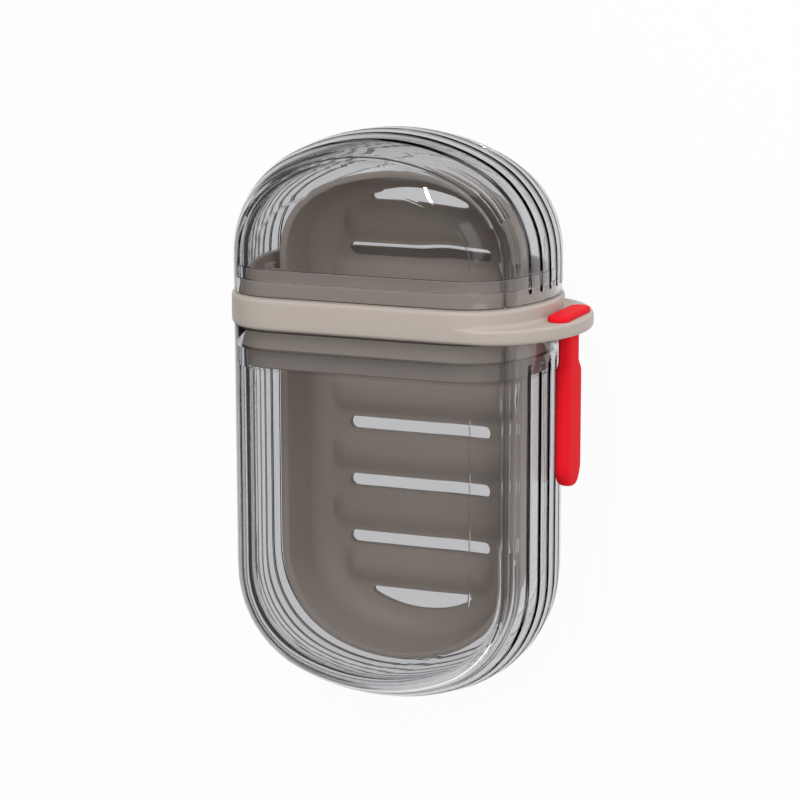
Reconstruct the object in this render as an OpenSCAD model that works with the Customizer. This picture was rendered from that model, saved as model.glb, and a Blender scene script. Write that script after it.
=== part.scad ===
// Travel soap box, lying on its back. X runs across the case towards the strap tab,
// Y runs along the case from the lower box to the upper cover, Z runs up to the front face.
// Everything is in millimetres, and the lowest point rests on Z = 0.

/* [Case] */
// Length of the closed case
case_l = 130; // [110:1:150]
// Width of the closed case without the tab
case_w = 74; // [62:1:86]
// Thickness of the shells, front face to back face
case_t = 48; // [38:1:56]
// Wall thickness of the clear shells
wall = 3; // [2.6:0.1:3.4]
// Wall thickness of the shells at the mouth, round the foot of a collar
mouth_wall = 1.4; // [1.2:0.1:1.6]
// Size of the step between the centres of the side wall's three radii
side_step = 0.35; // [0.3:0.01:0.4]
// Size of the step between the centres of the upper cover's three arch radii
top_step = 1.6; // [1:0.1:2]
// Size of the step between the centres of the lower box's three arch radii
low_step = 1.7; // [1:0.1:2.2]

/* [Grooves] */
// Number of parallel grooves round the side wall
groove_n = 6; // [4:1:8]
// Distance from one groove to the next
groove_pitch = 4.25; // [3:0.05:4.6]
// Width of a groove
groove_w = 1.1; // [0.4:0.05:1.6]
// Depth of a groove
groove_d = 0.8; // [0.4:0.05:1.1]
// Plain band of the upper cover next to the ring
top_plain = 2.2; // [1.5:0.1:5]
// Plain band of the lower box next to the ring
low_plain = 5.8; // [3:0.1:9]

/* [Centre ring] */
// Distance from the lower edge of the ring to the top of the case
top_part = 43.3; // [41:0.1:48]
// Height of the visible ring band
ring_h = 7; // [5:0.1:9]
// How far the ring band stands proud of the shells
ring_proud = 0.5; // [0.2:0.05:0.9]
// Rounding of the ring band's outer edges
ring_edge_r = 1.1; // [0.5:0.1:1.6]
// Gap between the rim of a shell and the ring's shoulder
rim_gap = 0.3; // [0.1:0.05:0.5]
// Clearance between a collar and the inside of a shell
collar_gap = 0.3; // [0.15:0.05:0.5]
// Height of the collar that rises into the upper cover
collar_up = 6.2; // [5:0.1:8]
// Height of the thick foot of the upper collar
foot_up = 3.4; // [2:0.1:4.5]
// Depth of the collar that drops into the lower box
collar_down = 9; // [7:0.1:11]
// Depth of the thick foot of the lower collar
foot_down = 4.6; // [3:0.1:6]
// Thickness of the collar beyond its foot
collar_wall = 1.3; // [1:0.1:2]
// Step from the foot to the thinner part of the collar
collar_step = 1.1; // [0.6:0.1:1.2]

/* [Strap tab] */
// Thickness of the tab
tab_h = 3.3; // [2.4:0.1:4]
// How far the tip of the tab reaches beyond the side of the case
tab_out = 7.7; // [6.5:0.1:10]
// Radius of the tab's outer end
tab_end_r = 29.5; // [26:0.5:36]
// Radius of the tab's corners
tab_corner_r = 14; // [10:0.5:16]

/* [Soap tray] */
// Distance from the side of the case to the tray's rim
tray_side_in = 8; // [7.5:0.1:12]
// Distance from the top of the case to the tray's upper end
tray_top_in = 8.8; // [7:0.1:14]
// Distance from the lower end of the case to the tray's lower end
tray_low_in = 6.8; // [6:0.1:14]
// Size of the step between the arch centres of the tray's upper end
tray_top_step = 2; // [1:0.1:2.4]
// Size of the step between the arch centres of the tray's lower end
tray_low_step = 1; // [0.6:0.1:2]
// Clearance between the tray's underside and the ring's bore
tray_clear = 3.1; // [2:0.1:4]
// Thickness of the tray's wall at the rim
tray_wall = 2; // [1.6:0.1:2.4]
// Thickness of the tray's floor
tray_floor = 1.8; // [1.4:0.1:2.4]
// Outer radius from the tray's wall to its floor
tray_turn_r = 8; // [6:0.5:9]
// How much narrower each wall stands at the foot of its slope
tray_draft = 1; // [0.5:0.1:1.5]
// Distance from the tray's side to the end of a drain slot
slot_side = 11; // [9:0.5:14]
// Width of a drain slot
slot_w = 3.1; // [2.2:0.1:4]
// Distance from the tray's upper end to the middle of the nearest long slot
slot_top_in = 21.2; // [19:0.1:24]
// Distance from the tray's lower end to the middle of the nearest long slot
slot_low_in = 24.8; // [20:0.1:26]
// Number of long drain slots
slot_n = 6; // [4:2:6]
// Distance from the last long slot to the straight edge of an end opening
end_slot_gap = 11.6; // [10:0.1:13]
// Radius of the bow of an end opening
bow_r = 20; // [18:0.5:26]
// Height of the bow of an end opening
bow_rise = 3.8; // [2.5:0.1:5]
// Height of the rounded ridges between the slots
ridge_h = 1.6; // [0.5:0.1:1.8]
// Distance from the tray's side to the end of a ridge
ridge_side = 7; // [6:0.5:9]
// Width of a ridge
ridge_w = 8.6; // [7:0.1:10]
// Thickness of the lugs that carry the tray in the ring
lug_t = 1.6; // [1.2:0.1:2.2]
// Clearance between the tray's lugs and the ring
lug_gap = 0.1; // [0.05:0.05:0.3]
// Height of the rails that hold a lug
rail_h = 1.4; // [1:0.1:2]

/* [Strap] */
// Distance from the side of the case to the middle of the strap
strap_out = 3.6; // [3:0.1:5]
// Thickness of the strap's paddle
strap_t = 3.4; // [2.5:0.1:4]
// Width of the strap's paddle
strap_w = 10.2; // [8:0.1:12]
// Thickness of the strap's neck
neck_t = 3; // [2:0.1:3.4]
// Width of the strap's neck
neck_w = 6.8; // [5:0.1:8]
// Clearance round the neck in the tab's slot
neck_gap = 0.2; // [0.1:0.05:0.4]
// Length of the neck below the tab
neck_l = 6.2; // [4:0.1:9]
// Length of the sloping shoulders
shoulder_l = 3.1; // [2:0.1:5]
// Length of the whole strap below the tab
strap_l = 34.8; // [28:0.1:40]
// Width of the strap's head
head_w = 4.9; // [4:0.1:6]
// Length of the strap's head
head_l = 18.6; // [14:0.1:22]
// Height of the strap's head above the tab
head_h = 1.3; // [0.8:0.1:2]
// Depth of the thumb dimple
dimple_d = 0.5; // [0.2:0.05:0.8]
// Distance from the strap's lower end to the middle of the dimple
dimple_y = 13.9; // [10:0.1:18]

/* [Hidden] */
$fn = 96;
half_w = case_w / 2;
half_t = case_t / 2;
ring_y = case_l / 2 - top_part;
tab_tip = half_w + tab_out;
strap_x = half_w + strap_out;
lift = half_t + ring_proud;
// the tab reaches out to one side only, so the case moves off to centre the whole
shift = -(tab_tip - half_w - ring_proud) / 2;
// The centres of two tangent radii stand a whole-number right triangle apart,
// [across, along, apart], so the radii meet without a step.
side_tri = [56, 33, 65];
top_tri = [8, 15, 17];
low_tri = [5, 12, 13];
edge_z = side_tri[1] * side_step;
edge_r = half_t - edge_z;
side_r = edge_r + side_tri[2] * side_step;
side_x = half_w - side_r;
edge_x = side_x + side_tri[0] * side_step;
split_z = side_r * side_tri[1] / side_tri[2];
ring_top = ring_y + ring_h;
cover_rim = ring_top + rim_gap;
box_rim = ring_y - rim_gap;
cover_c = case_l / 2 - arch_rise(half_w, top_step, top_tri);
box_c = -(case_l / 2 - arch_rise(half_w, low_step, low_tri));
foot_in = mouth_wall + collar_gap;
collar_in = foot_in + collar_step;
bore_in = collar_in + collar_wall;
tray_half_w = half_w - tray_side_in;
tray_top = case_l / 2 - tray_top_in;
tray_low = case_l / 2 - tray_low_in;
tray_deep = half_t - bore_in - tray_clear - tray_floor;
slot_l = 2 * (tray_half_w - slot_side);
ridge_l = 2 * (tray_half_w - ridge_side);
last_slot = tray_top - slot_top_in;
first_slot = slot_low_in - tray_low;
slot_pitch = (last_slot - first_slot) / (slot_n - 1);
tab_top = ring_y + tab_h;
tab_half_t = half_t + ring_proud - 0.2;
tab_c = tab_tip - tab_end_r;
tab_corner_z = tab_half_t - tab_corner_r;
tab_corner_x = tab_c + sqrt(pow(tab_end_r - tab_corner_r, 2) - pow(tab_corner_z, 2));
tray_top_c = tray_top - arch_rise(tray_half_w, tray_top_step, low_tri);
tray_low_c = -(tray_low - arch_rise(tray_half_w, tray_low_step, low_tri));
tray_under = tray_deep + tray_floor;
ridge_r = (pow(ridge_w / 2, 2) + pow(ridge_h, 2)) / (2 * ridge_h);
lug_out = half_w - bore_in - lug_gap;
big = 200;

clear_smoke = [0.86, 0.88, 0.9, 0.35];
taupe = [0.69, 0.67, 0.62];
red = [0.88, 0.06, 0.08];

// Height of an arch of half width w
function arch_rise(w, step, tri) = w + (tri[2] - tri[0] - tri[1]) * step;

// Half width of the case section at depth z below the outer skin's middle plane
function half_at(z) = abs(z) <= split_z
    ? side_x + sqrt(pow(side_r, 2) - z * z)
    : edge_x + sqrt(pow(edge_r, 2) - pow(abs(z) - edge_z, 2));

// Case section, moved inwards by t all round
module section(t = 0) {
    translate([-edge_x, -(half_t - t)]) square([2 * edge_x, 2 * (half_t - t)]);
    for (sx = [-1, 1]) {
        for (sz = [-1, 1]) translate([sx * edge_x, sz * edge_z]) circle(r = edge_r - t);
        intersection() {
            translate([sx * side_x, 0]) circle(r = side_r - t);
            polygon([[sx * side_x, 0],
                     [sx * (side_x + side_tri[0]), side_tri[1]],
                     [sx * (side_x + side_tri[0]), -side_tri[1]]]);
        }
    }
}

// Case section with the grooves cut into both sides
module grooved_section() {
    difference() {
        section();
        for (i = [0 : groove_n - 1]) {
            z = (i - (groove_n - 1) / 2) * groove_pitch;
            for (sx = [-1, 1])
                translate([sx > 0 ? half_at(z) - groove_d : -half_at(z) - 2 + groove_d,
                           z - groove_w / 2])
                    square([2, groove_w]);
        }
    }
}

// The part of a section right of its turning line
module slice(dx, x0 = 0) {
    intersection() {
        translate([dx, 0]) children();
        translate([x0, -big / 2]) square([big, big]);
    }
}

// Prism that keeps one sector of a sweep
module sector(points) {
    translate([0, 0, -big / 2]) linear_extrude(height = big) polygon(points);
}

// Arched end that grows in +Y: two shoulders and a flatter crown, swept from one section
module arch(half, step, tri) {
    a = tri[0] * step;
    c = tri[1] * step;
    r1 = half - a;
    r2 = r1 + tri[2] * step;
    for (m = [0, 1]) mirror([m, 0, 0]) translate([a, 0, 0]) intersection() {
        rotate_extrude() slice(r1 - half) children();
        sector([[0, 0], [100, 0], [100, 100], [6 * tri[0], 6 * tri[1]]]);
    }
    translate([0, -c, 0]) intersection() {
        rotate_extrude() slice(r2 - half, c / 2) children();
        sector([[-a, c], [a, c], [6 * tri[0], 6 * tri[1]], [-6 * tri[0], 6 * tri[1]]]);
    }
}

// Straight run of a section between two places along the case
module run(y0, y1) {
    translate([0, y1, 0]) rotate([90, 0, 0]) linear_extrude(height = y1 - y0) children();
}

// Belt that follows the case section, from a profile drawn as (outwards, along the case)
module belt() {
    u = side_tri[0];
    v = side_tri[1];
    for (s = [0, 180]) rotate([0, s, 0]) {
        translate([edge_x, 0, half_t]) rotate([0, -90, 0])
            linear_extrude(height = 2 * edge_x) children();
        translate([side_x, 0, 0]) rotate([-90, 0, 0]) intersection() {
            rotate_extrude() translate([side_r, 0]) children();
            sector([[0, 0], [u, -v], [u, v]]);
        }
        for (m = [0, 1]) mirror([0, 0, m]) translate([edge_x, 0, edge_z])
            rotate([-90, 0, 0]) intersection() {
                rotate_extrude() translate([edge_r, 0]) children();
                sector([[0, 0], [0, -60], [60, -60], [u, -v]]);
            }
    }
}

// Clear upper cover: grooved arch with a plain rim band, open towards the ring
module upper_cover() {
    color(clear_smoke) translate([shift, 0, lift]) difference() {
        union() {
            run(cover_rim, cover_rim + top_plain) section();
            run(cover_rim + top_plain, cover_c) grooved_section();
            translate([0, cover_c, 0]) arch(half_w, top_step, top_tri) grooved_section();
        }
        run(cover_rim - 1, cover_c) section(wall);
        // the mouth is stepped like the collar that fills it
        run(cover_rim - 1, ring_top + foot_up + collar_gap) section(mouth_wall);
        run(cover_rim - 1, ring_top + collar_up + collar_gap) section(mouth_wall + collar_step);
        translate([0, cover_c, 0]) arch(half_w, top_step, top_tri) section(wall);
    }
}

// Clear lower box: the deeper grooved shell, open towards the ring
module lower_box() {
    color(clear_smoke) translate([shift, 0, lift]) rotate([0, 0, 180]) difference() {
        union() {
            run(-box_rim, -box_rim + low_plain) section();
            run(-box_rim + low_plain, -box_c) grooved_section();
            translate([0, -box_c, 0]) arch(half_w, low_step, low_tri) grooved_section();
        }
        run(-box_rim - 1, -box_c) section(wall);
        // the mouth is stepped like the collar that fills it
        run(-box_rim - 1, -ring_y + foot_down + collar_gap) section(mouth_wall);
        run(-box_rim - 1, -ring_y + collar_down + collar_gap) section(mouth_wall + collar_step);
        translate([0, -box_c, 0]) arch(half_w, low_step, low_tri) section(wall);
    }
}

// Profile of the ring band: it starts inside the ring's bore, its outside stands a little proud
module band_profile() {
    w = bore_in + ring_proud - ring_edge_r;
    translate([-bore_in - 1, 0]) square([w + 1, ring_h]);
    translate([-bore_in + w - 0.01, ring_edge_r])
        square([ring_edge_r + 0.01, ring_h - 2 * ring_edge_r]);
    for (y = [ring_edge_r, ring_h - ring_edge_r])
        translate([-bore_in + w, y]) circle(r = ring_edge_r);
}

// Plan of the strap tab, which leaves the ring's front and back faces without a step
module tab_plan() {
    intersection() {
        union() {
            translate([0, -tab_half_t]) square([tab_corner_x, 2 * tab_half_t]);
            for (s = [-1, 1]) translate([tab_corner_x, s * tab_corner_z]) circle(r = tab_corner_r);
            intersection() {
                translate([tab_c, 0]) circle(r = tab_end_r);
                polygon([[tab_c, 0],
                         [tab_c + 3 * (tab_corner_x - tab_c), 3 * tab_corner_z],
                         [tab_c + 3 * (tab_corner_x - tab_c), -3 * tab_corner_z]]);
            }
        }
        translate([edge_x - 2, -half_t]) square([60, case_t]);
    }
}

// Rounded bar outline, w across and l long
module pill(w, l) {
    translate([-w / 2, -(l - w) / 2]) square([w, l - w]);
    for (s = [-1, 1]) translate([0, s * (l - w) / 2]) circle(r = w / 2);
}

// Centre ring: proud band, a stepped collar to each side, tray rails and the strap tab
module centre_ring() {
    color(taupe) translate([shift, 0, lift]) {
        difference() {
            union() {
                translate([0, ring_y, 0]) belt() band_profile();
                run(ring_top - 1, ring_top + foot_up) section(foot_in);
                run(ring_top - 1, ring_top + collar_up) section(collar_in);
                run(ring_y - foot_down, ring_y + 1) section(foot_in);
                run(ring_y - collar_down, ring_y + 1) section(collar_in);
                run(ring_y, tab_top) tab_plan();
            }
            run(ring_y - collar_down - 1, ring_top + collar_up + 1) section(bore_in);
            translate([strap_x, 0, 0])
                run(ring_y - 1, tab_top + 1) pill(neck_t + 2 * neck_gap, neck_w + 2 * neck_gap);
        }
        // rails that take the tray's lugs
        for (s = [-1, 1]) for (z = [2 * lug_gap, -lug_t - rail_h])
            translate([s > 0 ? lug_out - 1.4 : -lug_out - 0.6, ring_y - 6, z])
                cube([2, ring_h + 10, rail_h]);
    }
}

// Outer or inner section of the tray, drawn rim up with its rim on the middle plane
module dish(w, d, r, open = 0) {
    wf = w - tray_draft;
    translate([-(wf - r), -d]) square([2 * (wf - r), d + open]);
    for (s = [-1, 1]) translate([s * (wf - r), -d + r]) circle(r = r);
    polygon([[-w, open], [-w, 0], [-wf, -d + r], [wf, -d + r], [w, 0], [w, open]]);
}

// One rounded ridge of the tray floor
module ridge(y, l) {
    intersection() {
        translate([-l / 2 - 1, y, -tray_deep - ridge_r + ridge_h])
            rotate([0, 90, 0]) cylinder(r = ridge_r, h = l + 2);
        translate([0, y, -tray_deep - 0.5]) linear_extrude(height = ridge_h + 1)
            rotate([0, 0, 90]) pill(ridge_w + 2, l);
    }
}

// Bowed end opening of the tray, straight edge at y = 0
module bow() {
    intersection() {
        translate([0, bow_rise - bow_r]) circle(r = bow_r);
        translate([-30, 0]) square([60, 10]);
    }
}

// Soap tray: open dish with drain slots, ridges between them, and a lug at each side
module soap_tray() {
    inner_w = tray_half_w - tray_wall;
    color(taupe) translate([shift, 0, lift]) {
        difference() {
            union() {
                run(tray_low_c, tray_top_c) dish(tray_half_w, tray_under, tray_turn_r);
                translate([0, tray_top_c, 0]) arch(tray_half_w, tray_top_step, low_tri)
                    dish(tray_half_w, tray_under, tray_turn_r);
                translate([0, tray_low_c, 0]) rotate([0, 0, 180])
                    arch(tray_half_w, tray_low_step, low_tri)
                        dish(tray_half_w, tray_under, tray_turn_r);
                for (s = [-1, 1])
                    translate([s > 0 ? tray_half_w - 1 : -lug_out, ring_y - 5, -lug_t])
                        cube([lug_out - tray_half_w + 1, ring_h + 8, lug_t]);
            }
            run(tray_low_c, tray_top_c) dish(inner_w, tray_deep, tray_turn_r - 1.9, 1);
            translate([0, tray_top_c, 0])
                arch(inner_w, tray_top_step, low_tri)
                    dish(inner_w, tray_deep, tray_turn_r - 1.9, 1);
            translate([0, tray_low_c, 0]) rotate([0, 0, 180])
                arch(inner_w, tray_low_step, low_tri)
                    dish(inner_w, tray_deep, tray_turn_r - 1.9, 1);
            for (i = [0 : slot_n - 1])
                translate([0, first_slot + i * slot_pitch, -tray_under - 1])
                    linear_extrude(height = tray_floor + 2)
                        rotate([0, 0, 90]) pill(slot_w, slot_l);
            translate([0, last_slot + end_slot_gap, -tray_under - 1])
                linear_extrude(height = tray_floor + 2) bow();
            translate([0, first_slot - end_slot_gap, -tray_under - 1])
                linear_extrude(height = tray_floor + 2) mirror([0, 1]) bow();
        }
        for (i = [0 : slot_n - 2]) ridge(first_slot + (i + 0.5) * slot_pitch, ridge_l);
        ridge(last_slot + (slot_w / 2 + end_slot_gap) / 2, ridge_l * 0.86);
        ridge(first_slot - (slot_w / 2 + end_slot_gap) / 2, ridge_l * 0.86);
    }
}

// Outline of the strap below the tab, drawn as (depth, along the case) from the tab down
module strap_plan() {
    r = strap_w / 2;
    translate([-neck_w / 2, -neck_l - 0.01]) square([neck_w, neck_l + 0.01]);
    polygon([[-neck_w / 2, -neck_l], [-r, -neck_l - shoulder_l],
             [r, -neck_l - shoulder_l], [neck_w / 2, -neck_l]]);
    translate([-r, -strap_l + r]) square([strap_w, strap_l - r - neck_l - shoulder_l]);
    translate([0, -strap_l + r]) circle(r = r);
}

// Rounded rectangle
module soft_bar(w, l, r) {
    translate([-w / 2 + r, -l / 2]) square([w - 2 * r, l]);
    translate([-w / 2, -l / 2 + r]) square([w, l - 2 * r]);
    for (x = [-1, 1]) for (y = [-1, 1])
        translate([x * (w / 2 - r), y * (l / 2 - r)]) circle(r = r);
}

// Soft strap in one piece: head on the tab, neck through its slot, paddle beside the box
module strap() {
    color(red) translate([shift + strap_x, 0, lift]) difference() {
        union() {
            run(tab_top, tab_top + head_h - 0.4) pill(head_w, head_l);
            run(tab_top, tab_top + head_h) pill(head_w - 0.5, head_l - 0.5);
            run(ring_y - 0.5, tab_top + 0.1) pill(neck_t, neck_w);
            intersection() {
                translate([strap_t / 2, ring_y, 0]) rotate([0, -90, 0])
                    linear_extrude(height = strap_t) strap_plan();
                run(ring_y - strap_l - 1, ring_y) soft_bar(strap_t, strap_w, 1.2);
            }
        }
        translate([strap_t / 2 - dimple_d + 21, ring_y - strap_l + dimple_y, 0])
            rotate_extrude() translate([13, 0]) circle(r = 8);
    }
}

upper_cover();
lower_box();
centre_ring();
soap_tray();
strap();
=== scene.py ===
import math
from collections import namedtuple

import bmesh
import bpy
import numpy as np
from bpy.props import FloatProperty, FloatVectorProperty, IntProperty, PointerProperty
from mathutils import Matrix, Vector


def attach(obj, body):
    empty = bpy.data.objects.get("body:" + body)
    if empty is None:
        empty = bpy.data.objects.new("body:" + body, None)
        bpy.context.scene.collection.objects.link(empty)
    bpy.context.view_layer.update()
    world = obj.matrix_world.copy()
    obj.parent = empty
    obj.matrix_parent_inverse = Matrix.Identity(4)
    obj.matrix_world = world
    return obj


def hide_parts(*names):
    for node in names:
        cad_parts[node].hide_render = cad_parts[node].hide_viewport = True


bl_info = {
    "name": "Travel Soap Box",
    "version": (1, 0, 0),
    "blender": (4, 5, 0),
    "location": "3D View > Sidebar > Soap Box",
    "description": "Builds the looks of a clear travel soap box around its CAD frame",
    "category": "Add Mesh",
}

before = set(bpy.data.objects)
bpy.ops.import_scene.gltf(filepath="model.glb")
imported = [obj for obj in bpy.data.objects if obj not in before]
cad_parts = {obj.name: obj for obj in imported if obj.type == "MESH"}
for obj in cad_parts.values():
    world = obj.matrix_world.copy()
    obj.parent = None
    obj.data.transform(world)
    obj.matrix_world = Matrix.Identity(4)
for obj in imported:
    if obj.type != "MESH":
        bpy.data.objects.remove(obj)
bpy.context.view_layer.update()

# Case. Sizes are in millimetres from the case's middle: x across, y along, z up
MM = 0.001
SHIFT = -3.6  # the case's middle plane in a box that the tab is inside too
LIFT = 24.5  # height of the case's middle plane above the floor
HALF_W, HALF_T = 37.0, 24.0
EDGE_X, EDGE_R = 21.4, 12.45  # end of the flat face and radius of the edge, not yet softened
SIDE_R = 35.2  # radius of the side wall
SPLIT_SINE = 33 / 65  # sine of the angle that the side wall's radius covers
SPLIT_Z = SIDE_R * SPLIT_SINE  # height where the edge meets the side wall
SOFTEN = 7.0  # length over which one radius turns into the next
FACE_END = EDGE_X - 3.4  # where the flat face starts to turn
SIDE_CREASES = (12.1, 12.9, 14.8)  # heights of the fine lines inside the side wall
FACE_CREASES = (26.2, 32.6)  # places across of the fine lines inside the faces' edges

# Centre ring with its collars and tab
RING_Y, RING_H = 21.7, 7.0
RIM_GAP = 0.3
PROUD = 0.5  # how far the band stands out of the case's skin
FOOT, THIN, BORE = -1.7, -2.8, -4.1  # collar faces, measured from the case's skin
COLLAR_UP = (3.4, 6.2)  # height of the foot and of the whole collar
COLLAR_DOWN = (4.6, 9.0)
BAND_R = 1.0  # rounding of the band's upper edge
TAB_T = 3.3  # thickness of the tab
TAB_EDGE, TAB_FILLET = 0.8, 0.9  # rounding of the tab's edges and of its root
TAB_BLEND = 1.2  # reach over which the tab gets an edge of its own
TAB_TIP, TAB_END_R, TAB_CORNER_R = 44.7, 29.5, 14.0
TAB_HALF = HALF_T + 0.3
RAIL_X, RAIL_Y = (31.4, 33.4), (15.7, 32.7)
RAILS = ((0.2, 1.6), (-3.0, -1.6))  # heights of the upper and the lower rail
BLOCK_R = 0.4  # rounding of the upright edges of rails and lugs

# Shells
Shell = namedtuple("Shell", "node body side rim centre arch plain foot thin")
# rim and centre are measured along towards the shell's own end, and its arch begins at centre;
# arch is how far across its side arcs' centres lie, and how far back its middle arc's centre lies
SHELLS = (
    Shell("upper_cover", "cover", 1, rim=RING_Y + RING_H + RIM_GAP, centre=37.6, arch=(12.8, 24.0),
          plain=2.2, foot=COLLAR_UP[0], thin=COLLAR_UP[1] - 0.22),
    Shell("lower_box", "box", -1, rim=RIM_GAP - RING_Y, centre=34.8, arch=(8.5, 20.4),
          plain=5.8, foot=COLLAR_DOWN[0], thin=COLLAR_DOWN[1]),
)
MOUTH = (1.4, 2.5)  # wall at the mouth, round the collar's foot and thin part
STEP_R = 0.06  # half the length of a step in the mouth
LIP, LIP_IN = 0.25, 0.12  # rounding of the rim, along and across
GROOVE_RUN = 0.6  # length over which a groove reaches its depth
MOUTH_SMOKE_AND_SHADE, RIM_SHADE_RUN = 0.16, 0.12  # darkness over the thin mouth, which is smoke as deep as elsewhere plus painted shade on the collar behind it, and length of the painted dark shade line at the rim
BEND_KEYS = ("layer", "outward", "inset", "height", "lean", "rise", "notch")

# Tray
TRAY_HALF, TRAY_TOP, TRAY_LOW = 29.0, 56.2, 58.2
TRAY_TOP_ARCH, TRAY_LOW_ARCH = (10.0, 24.0), (5.0, 12.0)
TRAY_WALL, TRAY_DEEP, TRAY_FLOOR = 2.0, 15.0, 1.8
TRAY_TURN, TRAY_TURN_IN = 8.0, 6.1  # radius from the wall to the floor, outside and inside
TRAY_DRAFT, TRAY_LIP = 1.0, 0.5
CAP_IN = 15.2  # inset of the last ring; straight rows close the floor inside it
SLOT_FIRST, SLOT_LAST = -33.4, 35.0  # places of the outer two long drain slots
SLOT_L, SLOT_W, SLOT_STEPS = 36.0, 3.1, 5
END_GAP = 11.6  # from the last slot to the straight edge of an end opening
BOW_R, BOW_RISE, BOW_CORNER = 26.3, 4.5, 0.9
CUT_Z = (-22, -12)  # heights that the cutters reach through
RIDGE_H, RIDGE_W = 1.6, 8.6
RIDGE_L, END_RIDGE_L = 44.0, 37.8
LUG_X, LUG_Y, LUG_Z = (28.0, 32.8), (16.7, 31.7), (-1.6, 0.0)

# Strap
STRAP_X = HALF_W + 3.6
STRAP_T, STRAP_W, STRAP_L, STRAP_EDGE = 3.4, 10.2, 34.8, 1.6
NECK_T, NECK_W, NECK_L, NECK_EDGE = 3.0, 6.8, 6.2, 1.1
SHOULDER_L = 3.1
HEAD_T, HEAD_W, HEAD_H, HEAD_R, HEAD_EDGE = 4.9, 18.6, 1.3, 2.4, 0.6
DIMPLE_Y, DIMPLE_D = 13.9, 0.5  # from the strap's end to the dimple's middle, and its depth
DIMPLE_HALF = (4.6, 2.85)

# Stage. The lamps' places, aim and sizes are in metres, and the view's angles in radians
FLOOR_HALF = 3000
LAMP_AIM = (0, 0, 0.02)
KEY_PLACE, KEY_SIZE = (0.02, 0.8, 0.55), (0.025, 0.35)
FILL_PLACE, FILL_SIZE, FILL_SHARE = (0.55, 0.3, 0.6), (0.6, 0.4), 0.5
VIEW_TURN, VIEW_TILT, VIEW_ROLL = 0.393, 0.203, -0.002
VIEW_FAR, VIEW_RIGHT, VIEW_UP = 636.24, 0.384, 3.107  # the camera's place from the case's middle
SENSOR = 36

QUARTER = math.pi / 2
WHITE = (1, 1, 1, 1)


# Curves
def fair_curve(parts, soften, ends):
    """Runs along (length, curvature) parts with their joints softened, turning clockwise.
    Gives distances, places and normals; the end place is brought to exactly ends."""
    step = 0.02
    length = sum(p[0] for p in parts)
    n = int(round(length / step))
    s = (np.arange(n) + 0.5) * length / n
    edges = np.cumsum([0.0] + [p[0] for p in parts])
    bend = np.zeros(n)
    for (run, k), lo in zip(parts, edges):
        bend[(s >= lo) & (s < lo + run)] = k
    m = int(soften / 2 / step)
    kernel = np.ones(2 * m + 1) / (2 * m + 1)
    bend = np.convolve(np.concatenate([bend[m:0:-1], bend, bend[-2:-m - 2:-1]]), kernel, "valid")
    bend *= QUARTER / (bend.sum() * length / n)
    turn = np.cumsum(bend) * length / n
    x = np.concatenate([[0.0], np.cumsum(np.cos(turn)) * length / n])
    y = np.concatenate([[0.0], np.cumsum(np.sin(turn)) * length / n])
    x, y = x * ends[0] / x[-1], ends[1] * (1 - y / y[-1])
    tx, ty = np.gradient(x), np.gradient(y)
    size = np.hypot(tx, ty)
    return np.linspace(0, length, n + 1), x, y, -ty / size, tx / size


def case_quarter():
    """The case's section from the middle of the front face to the middle of the side."""
    side = math.asin(SPLIT_SINE)
    parts = [(EDGE_X, 0.0), (EDGE_R * (QUARTER - side), 1 / EDGE_R), (SIDE_R * side, 1 / SIDE_R)]
    return fair_curve(parts, SOFTEN, (HALF_W, HALF_T))


def at(table, key, values):
    """Rows (distance, x, y, nx, ny) of a curve table where column key has the given values."""
    cols = np.array(table)
    k = cols[key]
    order = np.argsort(k)
    return np.array([[np.interp(v, k[order], c[order]) for c in cols] for v in values])


def side_stations(count, pitch, width, creases):
    """Heights down the side wall with the notch shape of each groove and the fine inner lines."""
    half = [(-0.5, 0.0), (-0.46, 0.1), (-0.43, 0.5), (-0.39, 0.88), (-0.31, 0.99)]
    notch = half + [(0.0, 1.0)] + [(-k, n) for k, n in reversed(half)]
    rows, last = [], SPLIT_Z
    for i in range(count):
        z0 = ((count - 1) / 2 - i) * pitch
        rows += [(z, 0.0, 0.0) for z in np.linspace(last, z0 + width / 2, 6)[1:-1]]
        rows += [(z0 - k * width, n, 0.0) for k, n in notch]
        last = z0 - width / 2
    rows += [(z, 0.0, 0.0) for z in np.linspace(last, -SPLIT_Z, 6)[1:-1]]
    fine = ((0.15, 0.0), (0.05, 1.0), (-0.05, 1.0), (-0.15, 0.0))
    for line in creases:
        for z in (line, -line):
            rows = [r for r in rows if abs(r[0] - z) > 0.2 or r[1] + r[2] > 0]
            rows += [(z + k, 0.0, depth) for k, depth in fine]
    rows.sort(reverse=True)
    return [(SPLIT_Z, 0.0, 0.0)] + rows + [(-SPLIT_Z, 0.0, 0.0)]


def wall_profile(side_rows, creases, n_corner=26):
    """The case's side from the front flat to the back flat: rows of the inset from the widest
    place, the height, the normal across and up, the groove's depth and the fine line's depth."""
    q = case_quarter()
    end = at(q, 2, [SPLIT_Z])[0][0]
    rows = [(d, 0.0) for d in np.linspace(FACE_END, end, n_corner + 1)[:-1]]
    for x in creases:
        d = at(q, 1, [x])[0][0]
        rows = [r for r in rows if abs(r[0] - d) > 0.25]
        rows += [(d + k, depth) for k, depth in ((-0.2, 0.0), (-0.07, 1.0), (0.07, 1.0), (0.2, 0.0))]
    rows.sort()
    front = [(f[1], f[2], f[3], f[4], 0.0, r[1]) for f, r in zip(at(q, 0, [r[0] for r in rows]), rows)]
    side = at(q, 2, [abs(row[0]) for row in side_rows])
    middle = [(f[1], z, f[3], math.copysign(f[4], z), notch, crease)
              for f, (z, notch, crease) in zip(side, side_rows)]
    back = [(x, -z, c, -d, 0.0, e) for x, z, c, d, _, e in front[::-1]]
    out = np.array(front + middle + back)
    out[:, 0] = HALF_W - out[:, 0]
    return out


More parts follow.
